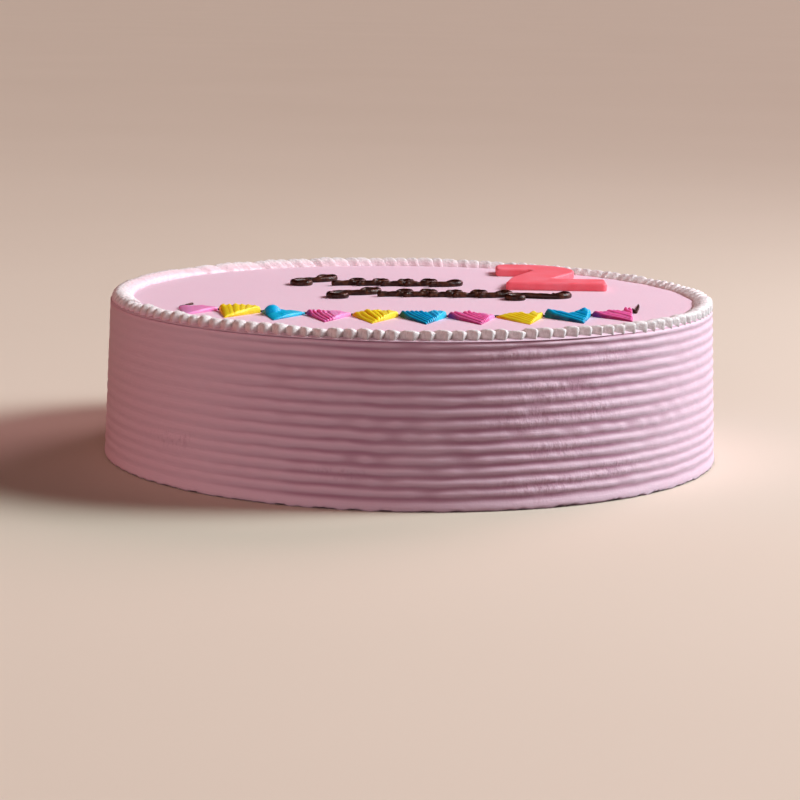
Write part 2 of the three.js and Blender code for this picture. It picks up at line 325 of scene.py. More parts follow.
def comb_side(angle):
    """Radius, height, relief and how torn the side is, as rows of rings from the foot to the lip.

    Between two grooves the radius swells by the comb's depth times sin(pi u) ** 1.5, where u is the
    share of the way up, so that ridges and grooves are equally round. The lowest ridge bulges sooner, as
    its foot is ragged. Where the comb pressed less, grooves are shallower. Grooves wander up and down,
    ridges differ in size, and the rough patches are pitted.
    """
    n = np.arange(COMB["grooves"])
    sway = waves_round(angle, 2, 9, COMB["sway"], seed=3)
    own = np.stack([waves_round(angle, 5, 44, COMB["wander"], seed=40 + k) for k in n])
    grooves = groove_height(n)[:, None] + sway + own
    foot = np.zeros((1, len(angle)))
    levels = np.concatenate([foot, grooves, foot + TOP - LIP])
    u = (np.arange(RIDGE_STEPS) / RIDGE_STEPS)[None, :, None]
    z = levels[:-1, None, :] + u * (levels[1:] - levels[:-1])[:, None, :]
    ridges = range(len(levels) - 1)
    uneven = np.stack([np.abs(waves_round(angle, 3, 50, COMB["uneven"], seed=80 + k)) for k in ridges])
    bulge = np.sin(math.pi * u) ** 1.5 * np.clip(1 - uneven, COMB["least"], 1)[:, None, :]
    u_foot = 0.14 + 0.86 * u[0]
    bulge[0] = np.sin(math.pi * u_foot**0.8) ** 1.2
    z, bulge = z.reshape(-1, len(angle)), bulge.reshape(-1, len(angle))
    grain = waves_round(angle, 40, 200, COMB["grain"], seed=7, height=z, tilt=2.0)
    torn = patchiness(angle, z)
    pitted = waves_round(angle, 120, 330, COMB["pits"], seed=8, height=z, tilt=1.6) - 0.05
    relief = 1 - comb_pressure(angle, z) * (1 - bulge)
    smooth = combed_radius(z) + COMB["depth"] * relief
    return smooth + np.minimum(grain, 0) + torn * np.minimum(pitted, 0), z, relief, torn


def iced_cake():
    """The cake as one turned surface: a ragged foot, the combed side, a thin lip and a smooth top.

    At the foot the last few tenths of a millimetre are drawn in by an amount that jumps about, which
    leaves small tufts. The lip waves a little, and is drawn in where the border hangs over it. The top
    is flat to a few hundredths of a millimetre.
    """
    angle = np.arange(CAKE_COLUMNS) * TAU / CAKE_COLUMNS
    radius, z, relief, torn = comb_side(angle)
    ragged = np.abs(waves_round(angle, 30, 170, TUFT, seed=21)) + 0.25
    foot_radius = combed_radius(0.0) + COMB["depth"] - ragged
    z[0] = np.clip(waves_round(angle, 20, 120, 0.3, seed=22) + 0.4, 0.05, 1)
    radius[0] = foot_radius + 0.4 * ragged
    # The underside's low relief paints it darker, as painted shade under the foot.
    foot = [(0.0, share * (FOOT_RADIUS - 1.5), 0.5) for share in UNDER_RINGS]
    foot.append((0.0, foot_radius - 0.6, 0.3))

    edge = combed_radius(TOP) + COMB["depth"]
    drawn_in = np.minimum(waves_round(angle, 2, 30, 0.1, seed=31), 0.0) - DRAWN_IN * overhang(angle)
    # Its relief of 0 paints shade into the crease under the lip.
    lip = [(TOP - 1.1, edge - 1.0, 0.0)]
    lip += [(TOP - below, edge + out + drawn_in, value) for below, out, value in LIP_SECTION]

    flat = []
    for reach in FLAT_RINGS:
        share = min(1.0, (FLAT_RADIUS - reach) / 12)
        dip = waves_round(angle, 1, 5, 0.03, seed=int(reach)) * share * reach / FLAT_RADIUS
        flat.append((TOP + np.minimum(dip, 0.0), reach, 1.0))

    side = zip(z, radius, relief, torn)
    rows = [(*row, 0.0) for row in foot] + list(side) + [(*row, 0.0) for row in lip + flat]
    z, radius, relief, torn = (np.array([row[k] + 0 * angle for row in rows]) for k in range(4))
    marks = {"relief": np.append(relief, [0.5, 1.0]), "torn": np.append(torn, [0.0, 0.0])}
    return *closed_rings(turned(radius, angle, z), (0, 0, 0), (0, 0, TOP)), marks


# --- Piped border ---

BEAD_STEPS = 18  # sections along a bead
BEAD_TAIL = 0.3  # share of a bead's length at which it reaches its full height
BEAD_HEAD = 0.68  # and at which it is widest and its head begins
BORDER_SECTION = np.array([  # shares across and up, from the outer foot over the crest to the inner foot
    (1.0, -0.1), (1.0, 0.2), (1.0, 0.45), (0.995, 0.65), (0.98, 0.82), (0.945, 0.94), (0.89, 0.99),
    (0.8, 1.0), (0.68, 0.93), (0.54, 0.79), (0.4, 0.62), (0.26, 0.45), (0.13, 0.27), (0.05, 0.14),
    (0.01, 0.05), (0.0, -0.02),
])
ROUND_SECTION = np.array([  # the same where the beads are round
    (1.0, -0.1), (1.0, 0.12), (0.985, 0.33), (0.95, 0.53), (0.9, 0.7), (0.83, 0.84), (0.75, 0.94),
    (0.66, 0.99), (0.56, 1.0), (0.46, 0.97), (0.36, 0.9), (0.25, 0.8), (0.14, 0.66), (0.06, 0.5),
    (0.01, 0.27), (0.0, -0.02),
])


def to_next(values):
    """How much the next bead's value is more than each bead's own."""
    return np.roll(values, -1, axis=0) - values


def piped_border():
    """A ring of beads piped one over the next, as rings of points across the border.

    Along a bead its width rises as (share / head) ** 1.3, or ** 0.6 where it is round, and its height as
    (share / tail) ** 0.6, and both fall as 1 - x ** 1.5 over the head, so each has a narrow tail on the
    left and a head on the right that stands out past the next. The ring is lower and narrower where a
    bead isn't full, most of all on the outer side, but more evenly at the far left and the back. The
    section is upright outside and slopes gently inwards, and is rounder at the left. Its inner side
    trails its outer side, and each bead has its own size, slant and place. Sizes vary more at the far
    left, change gradually at the back and are lower at the back right. The tube's star leaves ribs.
    """
    draw = np.random.default_rng(5)
    beads = BORDER["beads"]
    degrees = from_front(TAU * np.arange(beads) / beads)[:, None, None]
    far_left = within(-degrees, 50, 80, 120, 150)
    back_right = within(degrees, 85, 115, 150, 180)
    behind = soft_step(np.abs(degrees), 100, 130)
    rounder = within(-degrees, 5, 35, 110, 150)
    own_size, own_slant, own_place = draw.standard_normal((3, beads))[..., None, None]
    uneven = BORDER["uneven"]
    sizes = np.clip(1 + (uneven + uneven * far_left) * own_size, *BORDER["sizes"])
    slants = BORDER["lean"] * (1 + 0.6 * (1 - behind) * own_slant)
    places = np.arange(beads)[:, None, None] + uneven * own_place
    even = np.arange(BEAD_STEPS) / BEAD_STEPS
    share = (even - 0.1 * np.sin(TAU * even))[None, :, None]  # closer together near the crease
    once_round = beads * (degrees == degrees[-1])
    place = places + share * (to_next(places) + once_round)
    slant = slants + share * to_next(slants)
    size = sizes + share * soft_step(np.abs(degrees), 70, 100) * to_next(sizes)
    section = BORDER_SECTION + rounder[..., None] * (ROUND_SECTION - BORDER_SECTION)
    across, up = section[..., 0], section[..., 1]

    fall = 1 - np.clip((share - BEAD_HEAD) / (1 - BEAD_HEAD), 0, 1) ** 1.5
    inside = 0.06 + 0.44 * np.maximum(behind, soft_step(-degrees, 62, 90))  # how deep creases are there
    shallow = (inside + (1 - inside) * across) * (1 - 0.45 * behind)
    narrow = (1 - np.clip(share / BEAD_HEAD, 0, 1) ** (1.3 - 0.7 * rounder) * fall) * shallow
    crease = (1 - np.clip(share / BEAD_TAIL, 0, 1) ** 0.6 * fall) * shallow
    full = (1 - (1 - BORDER["pinch"]) * crease) * size * (1 - BORDER["lower"] * back_right)
    rib = 1 + BORDER["rib"] * np.cos(30 * across + 9 * (share - 0.5)) * np.clip(up, 0, 1)
    hung = overhang(TAU * place / beads)
    outer = BORDER_RADIUS - BORDER["inset"] - BORDER["scallop"] * narrow + BORDER["jut"] * hung
    radius = outer - BORDER["width"] * (0.4 + 0.6 * full) * (1 - across) * rib
    bent = 0.14 * up * np.clip((share - 0.5) / 0.5, 0, 1)
    angle = TAU * (place + bent - slant * (1 - across)) / beads
    crest = BORDER["height"] * up * full * rib
    z = TOP - BORDER["sunk"] + crest - BORDER["drop"] * hung * across**2
    rings = turned(radius, angle, z)

    # Painted pink bounce light, as from the cake's icing: on the lower outer side at the left, and on the
    # inner side at the left and the back.
    outer_foot_bounce = 0.75 * across * (1 - up) * rounder
    inner_pink_bounce = (1 - across) * (soft_step(-degrees, 60, 105) + soft_step(degrees, 120, 180))
    # Painted shade: relief darkens the creases, more at the far left, and the lower outer side, which
    # faces away from the light.
    lit = 0.3 + 0.7 * np.maximum(up, 1 - 1.2 * across)
    marks = {"relief": (1 - crease) ** (1 + 1.2 * far_left) * lit, "pinkish": inner_pink_bounce + outer_foot_bounce}
    marks = {mark: np.broadcast_to(values, rings.shape[:3]) for mark, values in marks.items()}
    around = len(BORDER_SECTION)
    faces = [grid_quads(beads * BEAD_STEPS, around, wrap_rows=True, wrap_columns=True)]
    return rings.reshape(-1, 3), faces, marks


# --- Pennants ---

ACROSS = 91  # points across a pennant, and along its strands
ALONG = 29
WALL = 0.55  # height of a pennant's upright edge, as a share of its own height there
LEFT_WALL = 0.3  # the same at the left edge away from the string
EDGE_ROUND = 0.9  # how far in from the edge the top is fully raised
LEFT_ROUND = 4.0  # the same at the left edge away from the string
TAPER = 0.65  # how much thinner a pennant is at its tip than at the string
THINNEST = 0.25
OVERRUN = 0.7  # how far a strand may start over the string
FORMS = [  # of each: heights at even steps across, strands, depth of creases, share that shows them
    ((0.4, 0.6, 0.65, 0.65, 0.65, 0.55), 1, 0.0, 0.5),
    ((1.0, 1.0, 1.0, 1.0, 1.0, 0.95), 6, 0.08, 0.9),
    ((0.5, 0.6, 0.65, 0.7, 0.7, 0.65, 0.6, 0.5, 0.4), 3, 0.08, 0.3),
    ((0.8, 0.9, 0.9, 0.85, 0.8, 0.5), 9, 0.5, 0.42),
    ((0.5, 0.85, 1.0, 1.0, 0.95, 0.75), 8, 0.24, 0.58),
    ((0.85, 1.0, 1.0, 1.0, 1.0, 0.95), 10, 0.4, 0.72),
    ((0.8, 0.95, 1.0, 0.95, 0.75, 0.45), 10, 0.46, 0.68),
    ((0.45, 0.75, 0.85, 0.9, 0.95, 0.85), 9, 0.22, 0.62),
    ((1.15, 1.0, 0.75, 0.75, 1.15, 1.0), 8, 0.34, 0.6),
    ((0.75, 0.85, 0.95, 1.0, 1.1, 1.05), 9, 0.4, 0.95),
]
CORNER_SHADE_AND_STRING = (0.0, 0.2, 0.6, 0.7, 0.45, 1.0, 0.9, 0.4, 0.5, 0.9)  # how dark each pennant's left corner is: painted shade, partly the chocolate string showing through
GLOW_SHARES = [  # share of the way across from which each pennant is paler, as a painted glow of light, and how much
    (-0.2, 0.9), (0.55, 0.5), (0.58, 0.8), (0.44, 1.0), (0.58, 0.85),
    (0.58, 1.0), (0.7, 0.9), (0.66, 0.6), (0.8, 0.15), (1.1, 0.0),
]
BLOBS = {  # pennant: (share across, share along, radius, extra height), where the tube was held still
    0: [(0.3, 0.1, 1.2, -0.3), (0.62, 0.1, 1.6, 0.2)],
    1: [(0.1 + 0.155 * k, 0.06, 0.8, 0.45) for k in range(6)],
    2: [(0.55, 0.12, 1.0, -0.7), (0.42, 0.75, 1.3, 0.4)],
    3: [(0.14, 0.1, 1.3, 0.5), (0.34, 0.12, 1.2, 0.5), (0.24, 0.2, 1.0, -0.9), (0.42, 0.3, 1.0, -0.8)],
    4: [(0.5, 0.1, 1.3, 0.3), (0.6, 0.2, 0.9, -0.9)],
    5: [(0.7, 0.08, 1.0, 0.35), (0.64, 0.14, 0.9, -1.0), (0.86, 0.1, 1.2, 0.4)],
    6: [(0.42, 0.08, 1.6, 0.5), (0.6, 0.12, 1.1, -0.7)],
    7: [(0.66, 0.1, 1.0, -1.0), (0.78, 0.1, 1.2, 0.4), (0.88, 0.2, 0.9, -0.8)],
    8: [(0.05, 0.1, 2.2, 0.4), (0.84, 0.28, 1.9, 0.6), (0.74, 0.28, 0.9, -1.2)],
    9: [(0.84, 0.12, 2.0, 0.7), (0.72, 0.1, 1.2, -0.5)],
}
BALL = {"pennant": 2, "place": (0.2, 0.27), "radius": 3.8, "height": 4.15}  # it starts one pennant


def garland_point(angle, outward):
    """A point on the cake's top, by its angle on the garland's arc and its distance outside the arc."""
    reach = GARLAND["radius"] + outward
    centre_y = GARLAND["middle_y"] + GARLAND["radius"]
    x, y = GARLAND["centre_x"] + reach * np.sin(angle), centre_y - reach * np.cos(angle)
    return np.stack([x, y], axis=-1)


def pennant_angle(n):
    """The angle on the arc where pennant n starts, or where the last one ends when n is their number."""
    narrower = GARLAND["last_cut"] * max(0, n + 1 - GARLAND["pennants"])
    wider = GARLAND["widening"] * n * (n - 1) / 2 - narrower
    return (GARLAND["start"] + GARLAND["width"] * n + wider) / GARLAND["radius"]


def pennant_plan(n):
    """Left and right corner, tip and thickness of pennant n, with the small differences of its node."""
    numbers = repeatable(311 + 97 * n)

    def vary(amount):
        return amount * (2 * next(numbers) - 1)

    half_gap = GARLAND["gap"] / 2 / GARLAND["radius"]
    off_centre = (n + 0.5 - GARLAND["pennants"] / 2) / (GARLAND["pennants"] / 2)
    length = GARLAND["length"] - GARLAND["end_shortening"] * off_centre**2 + vary(0.9)
    thickness = GARLAND["thickness"] + vary(0.25)
    left = garland_point(pennant_angle(n) + half_gap, 0.0)
    right = garland_point(pennant_angle(n + 1) - half_gap, 0.0)
    tip = garland_point(pennant_angle(n + GARLAND["tip_share"]) + vary(0.004), length)
    return left, right, tip, thickness


def closed_below(top):
    """Points and faces of a grid of points over the cake's top, closed by a wall that runs down from its
    rim, a little inwards, and by one flat face under it. Also the rim's point numbers, in order."""
    rows, columns = top.shape[:2]
    rim = np.concatenate([
        np.arange(columns),
        np.arange(1, rows) * columns + columns - 1,
        (rows - 1) * columns + np.arange(columns - 2, -1, -1),
        np.arange(rows - 2, 0, -1) * columns,
    ])
    points = top.reshape(-1, 3)
    foot = points[rim] + (points[rim].mean(axis=0) - points[rim]) * 0.015
    foot[:, 2] = TOP - SUNK
    below = len(points) + np.arange(len(rim))
    wall = np.stack([rim, np.roll(rim, -1), np.roll(below, -1), below], axis=1)
    sides = np.concatenate([grid_quads(rows, columns), wall])[:, ::-1]
    return np.concatenate([points, foot]), [sides, below[None]], rim


def piped_pennant(n):
    """Strands of icing piped side by side, parallel to the left edge, as one closed surface.

    A point a share s of the way across and t of the way along lies between the string's edge and the far
    edge, and each strand ends in a scallop. The height follows the pennant's own heights across and
    tapers to the tip. Towards the edge it is rounded down to an upright wall by a quarter circle of the
    distance to the edge. Creases between strands take off a share 1 - |sin(pi strands s)| ** 0.6, and
    die out where strands no longer show. Blobs and dents are soft round bumps at the listed places. One
    pennant begins with a ball, and is as high as the ball or the strands are.
    """
    draw = np.random.default_rng(900 + n)
    left, right, tip, thickness = pennant_plan(n)
    heights, strands, depth, shown = FORMS[n]
    s = np.linspace(0, 1, ACROSS)[:, None]
    t = np.linspace(0, 1, ALONG)[None, :]
    bent = s + 0.03 * np.sin(math.pi * t) * np.sin(TAU * (0.7 * s + draw.uniform()))
    strand = np.clip((s * strands).astype(int), 0, strands - 1)[:, 0]
    crest = np.abs(np.sin(math.pi * strands * np.clip(bent, 0, 1))) ** 0.6
    size = np.clip(1 + 0.1 * draw.standard_normal(strands), 0.8, 1.1)[strand][:, None]
    overrun = draw.uniform(0.1, 1.0, strands)[strand][:, None]
    fade = 1 - soft_step(s, shown - 0.12, shown + 0.12)

    near = left + (right - left) * s[..., None]
    far = tip + (right - tip) * (s * (1 - GARLAND["right_corner"]))[..., None]
    heading = (tip - left) / np.linalg.norm(tip - left)
    scallop = np.abs(np.sin(math.pi * strands * s)) ** 0.7 * (0.2 + 1.2 * depth * fade)
    reach = -OVERRUN * overrun * scallop * (1 - t) ** 5 + 0.3 * (1 - overrun) * scallop * t**5
    plan = near + (far - near) * t[..., None] + heading * reach[..., None]

    span = np.linalg.norm(far - near, axis=-1)
    wide = np.linalg.norm(right - left)
    to_edge = np.minimum(np.minimum(t, 1 - t) * span, (1 - s) * wide)
    away = soft_step(t, 0.0, 0.3)  # from the string
    left_share = 0.9 * wide * s / (EDGE_ROUND + (LEFT_ROUND - EDGE_ROUND) * away)
    dome = np.sqrt(1 - (1 - np.clip(np.minimum(to_edge / EDGE_ROUND, left_share), 0, 1)) ** 2)
    wall = WALL + (LEFT_WALL - WALL) * away * (1 - soft_step(s, 0.0, 0.3))
    own = softened(s, np.linspace(0, 1, len(heights)), heights, 0.04)
    depth = depth * (0.45 + 0.75 * away)
    ridges = (1 - depth * fade * (1 - crest)) * (1 + (size - 1) * (0.3 + 0.7 * fade))
    taper = 1 - TAPER * t * span / GARLAND["length"]
    height = thickness * (wall + (1 - wall) * dome) * ridges * own * taper

    def distance(place):
        """From each point of the plan to its point the given shares across and along."""
        middle = plan[int(place[0] * (ACROSS - 1)), int(place[1] * (ALONG - 1))]
        return np.linalg.norm(plan - middle, axis=-1)

    for *place, radius, extra in BLOBS[n]:
        apart = distance(place) / radius
        height = height + extra * np.exp(-(apart**2) * 1.6) * np.minimum(dome * 1.4, 1)
    if n == BALL["pennant"]:
        apart = distance(BALL["place"]) / BALL["radius"]
        height = np.maximum(height, BALL["height"] * np.sqrt(np.clip(1 - apart**2, 0, 1)))
    height = TOP + np.maximum(height, THINNEST)
    points, faces, rim = closed_below(np.concatenate([plan, height[..., None]], axis=-1))

    glow_from, glow_by = GLOW_SHARES[n]
    # Painted shade: relief darkens the creases, the edges, the left side and the wall's foot.
    creased = 2.0 * (depth + 0.1) * fade * (1 - crest)
    marks = {
        "relief": 0.75 + 0.25 * dome - creased - 0.15 * (1 - soft_step(s, 0.1, 0.5)),
        # Painted glow of light on the right part, where light falls.
        "pale": glow_by * soft_step(s, glow_from - 0.12, glow_from + 0.12) + 0 * t,
        # Painted shade at the left corner, partly the string showing through.
        "corner": CORNER_SHADE_AND_STRING[n] * (1 - soft_step(s, 0.01, 0.09)) * (1 - soft_step(t, 0.05, 0.4)),
    }
    marks = {name: np.append(values, values.ravel()[rim]) for name, values in marks.items()}
    marks["relief"][-len(rim):] = 0.3  # painted contact shadow at the wall's foot
    return points, faces, marks


# --- Piped lines ---

LINE_AROUND = 14  # points round a line
BLOB = 0.25  # how much wider a line starts, as a share
THIN = 0.35  # and how much thinner it ends, where the tube was pulled away
THIN_LENGTH = 9
UNEVEN = 0.045  # slow unevenness of its width, as a share


def lengths_along(route):
    """The length of a route of points up to each of them."""
    return np.concatenate([[0], np.cumsum(np.linalg.norm(np.diff(route, axis=0), axis=1))])


def left_of(ahead):
    """Level directions a quarter turn to the left of the given ones, one unit long."""
    return np.stack([-ahead[:, 1], ahead[:, 0]], axis=1) / np.linalg.norm(ahead, axis=1)[:, None]


def piped_line(route, width, height, seed):
    """A line of icing that follows a level route, a flattened round in section with a flat foot.

    Its half width is a quarter circle of the distance to the nearer end, times 1 + BLOB at the start and
    1 - THIN at the end, with a slow unevenness. Its height is the width's share of the full height.
    """
    draw = np.random.default_rng(seed)
    along = lengths_along(route)
    total = along[-1]
    side = left_of(np.gradient(route, axis=0))
    to_end = np.minimum(along, total - along)
    cap = np.sqrt(1 - (1 - np.clip(to_end / (width * 0.5), 0, 1)) ** 2)
    waves = (np.sin(along * TAU / draw.uniform(3, 11) + draw.uniform(0, TAU)) for _ in range(4))
    pulled = np.clip(1 - (total - along) / THIN_LENGTH, 0, 1)
    swell = 1 + BLOB * np.exp(-((along / width) ** 2)) - THIN * pulled
    full = np.clip(cap * (swell + UNEVEN * sum(waves)), 0.02, 1.12)

    section = np.arange(LINE_AROUND) * TAU / LINE_AROUND
    reach = 0.5 * width * np.cos(section) * np.abs(np.cos(section)) ** -0.15
    lift = np.clip(0.42 + 0.58 * np.sin(section), 0, 1) * height
    level = TOP - SUNK + lift[None, :] * np.minimum(full, 1)[:, None]
    flat = route[:, None, :] + side[:, None, :] * (reach[None, :] * full[:, None])[..., None]
    rings = np.concatenate([flat, level[..., None]], axis=-1)[1:-1]
    ends = [(*route[0], TOP + 0.2 * height), (*route[-1], TOP + 0.2 * height)]
    return *closed_rings(rings, *ends), {}


def string_route():
    """The garland's string: just behind the pennants along the arc, wandering by two sine waves, with a
    loose end running back at each side. The right end is bent to and fro, into the shape of a tick."""
    first, last = pennant_angle(0), pennant_angle(GARLAND["pennants"])
    inside = -STRING["behind"]
    share = np.linspace(1, 0, 24)[:-1]
    left = garland_point(first, inside - STRING["left_end"] * share)
    angle = np.linspace(first, last, 260)
    wander = 0.35 * np.sin(angle * 61) + 0.25 * np.sin(angle * 23 + 1)
    middle = garland_point(angle, inside + wander)
    bends = np.array(STRING["bends"])
    places = np.linspace(0.02, len(bends) - 1, 70)
    turns, reach = (softened(places, range(len(bends)), bends[:, k], 0.08) for k in (0, 1))
    right = garland_point(last + turns, reach)
    return np.concatenate([left, middle, right])


def scroll_route(x, y, turn, tail, head):
    """A scroll through x, y in the direction turn: on each arm the heading changes by the arm's curl
    times the square of the share of its length, so that it bends ever more tightly towards its end."""

    def arm(length, curl, forward):
        count = int(length / SCROLL["step"])
        share = (np.arange(count) + 0.5) / count
        heading = np.radians(turn + curl * share**2)
        step = forward * length / count
        steps = np.stack([np.cos(heading), np.sin(heading)], axis=1) * step
        return np.array([x, y]) + np.cumsum(steps, axis=0)

    return np.concatenate([arm(*tail, -1)[::-1], [[x, y]], arm(*head, 1)])


def running_waves(x, y, seed):
    """Small scrolls one after another from x, y, each a little different, as their nodes are."""
    numbers = repeatable(seed)
    found = []
    for n in range(WAVE["count"]):
        lift, twist, longer = (2 * next(numbers) - 1 for _ in range(3))
        length, curl = WAVE["head"]
        turn = WAVE["turn"] + WAVE["twist"] * twist
        place = (x + WAVE["pitch"] * n, y + WAVE["lift"] * lift)
        found.append((*place, turn, WAVE["tail"], (length + longer, curl)))
    return found


SCROLLS = {  # of each: where it begins to curl both ways, its direction there and its two arms
    "scroll_far": [(-44, 49, 22, SWASH, SWASH), *running_waves(-30, 40, 5)],
    "scroll_near": [(-25, 5, 12, SWASH, SWASH), *running_waves(-9, 3, 9), (54.5, 3, -14, SWASH, SWASH)],
}


# --- Numeral ---


def rounded_outline(corners):
    """Points along an outline whose corners, given as x, y and radius, are rounded by arcs."""
    found = []
    for k, (x, y, radius) in enumerate(corners):
        corner = np.array([x, y])
        back = np.array(corners[k - 1][:2]) - corner
        ahead = np.array(corners[(k + 1) % len(corners)][:2]) - corner
        back, ahead = back / np.linalg.norm(back), ahead / np.linalg.norm(ahead)
        half = math.acos(back @ ahead) / 2
        centre = corner + (back + ahead) / np.linalg.norm(back + ahead) * radius / math.sin(half)
        first = corner + back * radius / math.tan(half) - centre
        sweep = math.pi - 2 * half
        turn = math.copysign(1, back[1] * ahead[0] - back[0] * ahead[1])
        steps = max(6, int(radius * sweep / 0.7))
        angle = math.atan2(first[1], first[0]) + turn * np.linspace(0, sweep, steps)
        found.append(centre + radius * np.stack([np.cos(angle), np.sin(angle)], axis=1))
    return np.concatenate(found)


def even_steps(outline, step):
    """The same closed outline with its points an even step apart."""
    closed = np.vstack([outline, outline[:1]])
    along = lengths_along(closed)
    places = np.linspace(0, along[-1], int(along[-1] / step), endpoint=False)
    return np.stack([np.interp(places, along, closed[:, k]) for k in (0, 1)], axis=1)


def fondant_numeral():
    """The figure two as one closed surface: its outline carried up a wall whose upper edge is rounded by
    a quarter circle and whose lower edge by a smaller one, and closed by a flat top and foot."""
    n = NUMERAL
    corners = [
        (0, 0, n["corner"]),
        (n["width"], 0, n["corner"]),
        (n["width"], n["foot_stroke"], n["corner"]),
        (n["slant_foot"], n["foot_stroke"], n["corner"]),
        (n["bowl_reach"], n["height"], n["bowl_radius"]),
        (n["terminal_left"], n["height"], 3 * n["corner"]),
        (n["terminal_left"], n["terminal_front"], n["corner"]),
        (n["terminal_end"], n["terminal_front"], n["corner"]),
        (n["heel"], n["heel_height"], n["corner"]),
    ]
    outline = even_steps(rounded_outline(corners), 0.8) + (n["x"], n["y"])
    inward = left_of(np.roll(outline, -1, axis=0) - np.roll(outline, 1, axis=0))

    thick = highest_mm("numeral")[2] - TOP
    round_top, round_foot = n["round_top"], n["round_foot"]
    quarter = np.linspace(0, math.pi / 2, 7)
    foot = [(round_foot * (1 - math.sin(a)), round_foot * (1 - math.cos(a))) for a in quarter]
    edge = [(round_top * (1 - math.cos(a)), thick - round_top * (1 - math.sin(a))) for a in quarter]
    profile = [*foot, (0.0, thick * 0.4), *edge, (round_top + 0.5, thick)]
    count = len(outline)
    rings = [
        np.column_stack([outline + inward * inset, np.full(count, TOP - SUNK + level)])
        for inset, level in profile
    ]
    ring = np.arange(count)
    caps = np.stack([ring[::-1], (len(rings) - 1) * count + ring])
    return np.concatenate(rings), [grid_quads(len(rings), count, wrap_columns=True), caps], {}


# --- Finishes ---


class Value:
    """A shader socket that can be used in arithmetic: each operation adds a Math node."""

    def __init__(self, finish, socket):
        self.finish = finish
        self.socket = socket

    def __add__(self, other):
        return self.finish.math("ADD", self, other)

    def __mul__(self, other):
        return self.finish.math("MULTIPLY", self, other)

    __radd__ = __add__
    __rmul__ = __mul__


class Finish:
    """A material made of nodes round one Principled shader. Keyword values are set on its sockets."""

    def __init__(self, name, **constants):
        self.material = bpy.data.materials.new(name)
        self.material.use_nodes = True
        self.tree = self.material.node_tree
        self.shader = self.tree.nodes["Principled BSDF"]
        for socket, value in constants.items():
            self.shader.inputs[socket.replace("_", " ")].default_value = value
        self.place = Value(self, self.node("ShaderNodeTexCoord").outputs["Object"])

    def node(self, kind, settings=None, sockets=None):
        """Any node: its settings are set first, then the values or links of its sockets."""
        made = self.tree.nodes.new(kind)
        for key, value in (settings or {}).items():
            setattr(made, key, value)
        for key, value in (sockets or {}).items():
            if isinstance(value, Value):
                self.tree.links.new(value.socket, made.inputs[key])
            else:
                made.inputs[key].default_value = value
        return made

    def math(self, operation, first, second, clamp=False):
        """The result of one Math node."""
        settings = {"operation": operation, "use_clamp": clamp}
        return Value(self, self.node("ShaderNodeMath", settings, {0: first, 1: second}).outputs[0])

    def clamped(self, value):
        """The value, but at least 0 and at most 1."""
        return self.math("ADD", value, 0.0, clamp=True)

    def stretch(self, x, y, z):
        """The object's own coordinates, stretched along each axis."""
        mapping = self.node("ShaderNodeMapping", None, {"Vector": self.place, "Scale": (x, y, z)})
        return Value(self, mapping.outputs["Vector"])

    def noise(self, size, detail=3.0, place=None, distortion=0.0):
        """Soft noise from 0 to 1 whose lumps are about size metres across."""
        sockets = {"Vector": place or self.place, "Scale": 1 / size, "Detail": detail}
        sockets["Distortion"] = distortion
        return Value(self, self.node("ShaderNodeTexNoise", None, sockets).outputs["Fac"])

    def mark(self, name):
        """One of the numbers that the piece carries at its points."""
        return Value(self, self.node("ShaderNodeAttribute", {"attribute_name": name}).outputs["Fac"])

    def band(self, value, low, high):
        """0 below low, 1 above high and a soft step between them."""
        sockets = {"Value": value, "From Min": low, "From Max": high}
        made = self.node("ShaderNodeMapRange", {"interpolation_type": "SMOOTHSTEP"}, sockets)
        return Value(self, made.outputs["Result"])

    def mix(self, share, first, second):
        """Colour first, or a Value, where share is 0, and colour second where it is 1."""
        first = first if isinstance(first, Value) else (*first, 1.0)
        sockets = {0: share, 6: first, 7: (*second, 1.0)}
        return Value(self, self.node("ShaderNodeMix", {"data_type": "RGBA"}, sockets).outputs[2])

    def done(self, base, roughness, height, depth):
        """Links the colour, the roughness and a bump whose relief is depth metres deep."""
        bump = self.node("ShaderNodeBump", None, {"Height": height, "Distance": depth, "Strength": 1.0})
        normal = Value(self, bump.outputs["Normal"])
        for socket, value in {"Base Color": base, "Roughness": roughness, "Normal": normal}.items():
            self.tree.links.new(value.socket, self.shader.inputs[socket])
        return self.material


def soft(radius, weight):
    """Constants of a material that light enters, as far as radius, in metres for red, green, blue."""
    return {"Subsurface_Weight": weight, "Subsurface_Radius": radius, "Subsurface_Scale": 1.0}


def combed_buttercream():
    """Pink buttercream, with painted shade that makes it darker in the grooves and in the crease under the
    lip. It has faint drag lines along the comb's path and slow patches of colour. Where the comb tore
    it, it has fine upright chatter marks and pits."""
    f = Finish("combed_buttercream", **soft((0.0014, 0.0007, 0.0008), 0.12), Specular_IOR_Level=0.35)
    relief = f.mark("relief")
    torn = f.mark("torn")
    slow = f.noise(0.028, detail=2.0)
    drag = f.noise(0.012, detail=4.0, place=f.stretch(1, 1, 14))
    chatter = f.noise(0.0016, place=f.stretch(1, 1, 0.45))
    grain = f.noise(0.0011)
    # Painted shade: the grooves and the crease under the lip take the darker colour.
    base = f.mix(f.band(relief, 0.0, 0.75), (0.52, 0.25, 0.35), (0.86, 0.61, 0.72))
    base = f.mix(f.band(slow, 0.35, 0.7) * 0.3, base, (0.87, 0.64, 0.74))
    base = f.mix(f.band(chatter, 0.5, 0.68) * torn * 0.55, base, (0.50, 0.25, 0.36))
    height = 0.22 * grain + 0.35 * drag + torn * (1.4 * chatter + 0.4 * grain)
    return f.done(base, 0.5 + 0.2 * grain, height, depth=0.0003)


